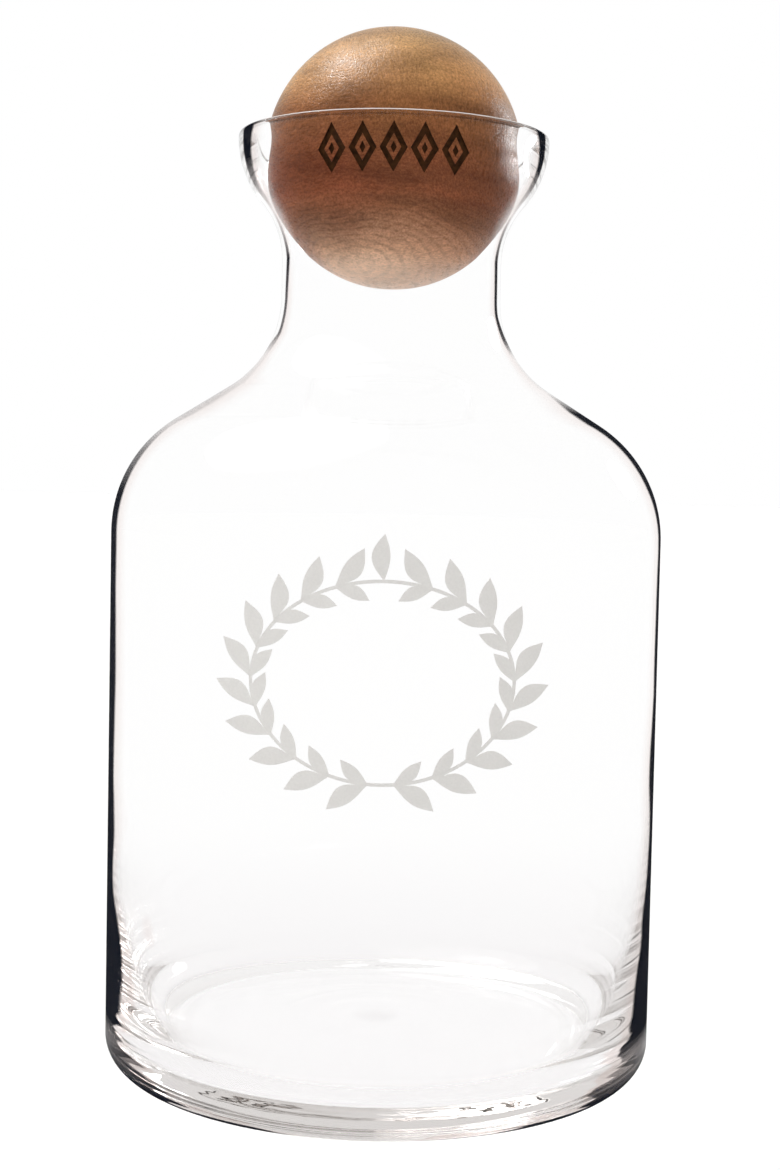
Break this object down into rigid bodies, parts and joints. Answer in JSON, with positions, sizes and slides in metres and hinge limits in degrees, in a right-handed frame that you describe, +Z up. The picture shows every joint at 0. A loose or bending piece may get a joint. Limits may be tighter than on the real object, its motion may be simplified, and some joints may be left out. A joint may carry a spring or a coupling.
{
  "type": "glass decanter with ball stopper",
  "caption": "Clear blown-glass decanter with a straight round body, short neck and flared cup, closed by a loose turned wooden ball that rests in the cup.",
  "frame": {"origin": "on the flask's axis, in the plane that its foot ring stands on", "axes": "+Z up along the flask's axis of turning, +Y away from the decorated front, +X to the viewer's right"},
  "size_m": [0.121, 0.121, 0.2282],
  "materials": {
    "clear_glass": "clear, fire-polished, smooth",
    "oiled_wood": "turned and oiled, satin"
  },
  "bodies": {
    "flask": {"glass_flask": "clear_glass"},
    "stopper": {"ball_stopper": "oiled_wood"}
  },
  "joints": [
    {"name": "stopper_lift", "type": "slide", "parent": "flask", "child": "stopper", "axis": [0, 0, 1], "range_m": [0, 0.08]}
  ]
}
